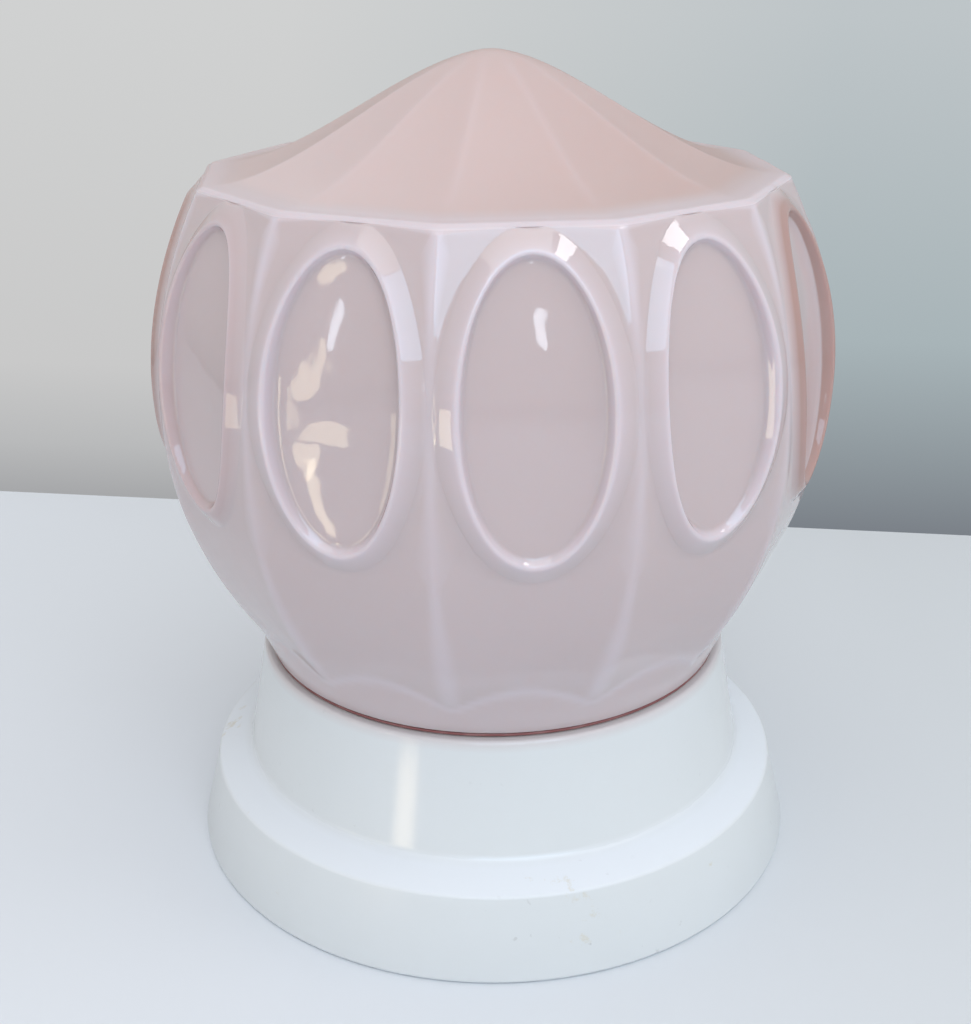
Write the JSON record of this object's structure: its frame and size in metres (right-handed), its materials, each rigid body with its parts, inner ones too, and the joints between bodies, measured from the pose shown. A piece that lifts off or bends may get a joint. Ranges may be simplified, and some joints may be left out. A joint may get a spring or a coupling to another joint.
{
  "type": "glass ceiling lamp",
  "caption": "Two-tier moulded lamp base with a screw-in faceted glass shade that carries raised ovals, a lampholder and a bulb.",
  "frame": {"origin": "centre of the base's back rim, the face that lies on the ceiling", "axes": "+Z from the back rim through the lampholder to the top of the shade's dome, -Y towards the viewer in the picture"},
  "size_m": [0.135, 0.135, 0.1636],
  "materials": {
    "base": "moulded white, glossy upper tier, worn satin lower tier",
    "shade_glass": "pale pink opal pressed glass, fire-polished",
    "seal_rubber": "dark red, satin",
    "grommet_rubber": "black, satin",
    "porcelain": "white glaze",
    "brass": "plain",
    "screw_steel": "zinc plated",
    "bulb_clear": "clear",
    "cap_metal": "rolled",
    "cap_glass": "black glass insulator",
    "tungsten": "dark wire"
  },
  "bodies": {
    "base": {"base_skirt": "base", "base_gallery": "base", "base_floor": "base", "cable_grommet": "grommet_rubber", "lampholder_body": "porcelain", "lampholder_shell": "brass", "live_strip": "brass", "neutral_strip": "brass", "live_terminal": "brass", "neutral_terminal": "brass", "live_clamp_screw": "screw_steel", "neutral_clamp_screw": "screw_steel", "holder_screw_front": "screw_steel", "holder_screw_rear": "screw_steel", "holder_nut_front": "screw_steel", "holder_nut_rear": "screw_steel"},
    "seal": {"shade_seal": "seal_rubber"},
    "shade": {"glass_shade": "shade_glass"},
    "contact": {"centre_contact": "brass"},
    "bulb": {"bulb_glass": "bulb_clear", "bulb_cap": "cap_metal", "bulb_insulator": "cap_glass", "bulb_tip": "cap_metal", "bulb_stem": "bulb_clear", "lead_wire_left": "tungsten", "lead_wire_right": "tungsten", "filament": "tungsten"}
  },
  "joints": [
    {"name": "shade_lift", "type": "slide", "parent": "base", "child": "seal", "axis": [0, 0, 1], "range_m": [0, 0.13]},
    {"name": "shade_turn", "type": "hinge", "parent": "seal", "child": "shade", "pos_m": [0, 0, 0.0445], "axis": [0, 0, 1], "range_deg": [0, 540]},
    {"name": "bulb_unscrew", "type": "slide", "parent": "base", "child": "bulb", "axis": [0, 0, 1], "range_m": [0, 0.027]},
    {"name": "contact_press", "type": "hinge", "parent": "base", "child": "contact", "pos_m": [0.0074, 0, 0.02015], "axis": [0, 1, 0], "range_deg": [-6, 0], "stiffness_Nm_per_rad": 0.3, "springref_deg": 2.86}
  ]
}
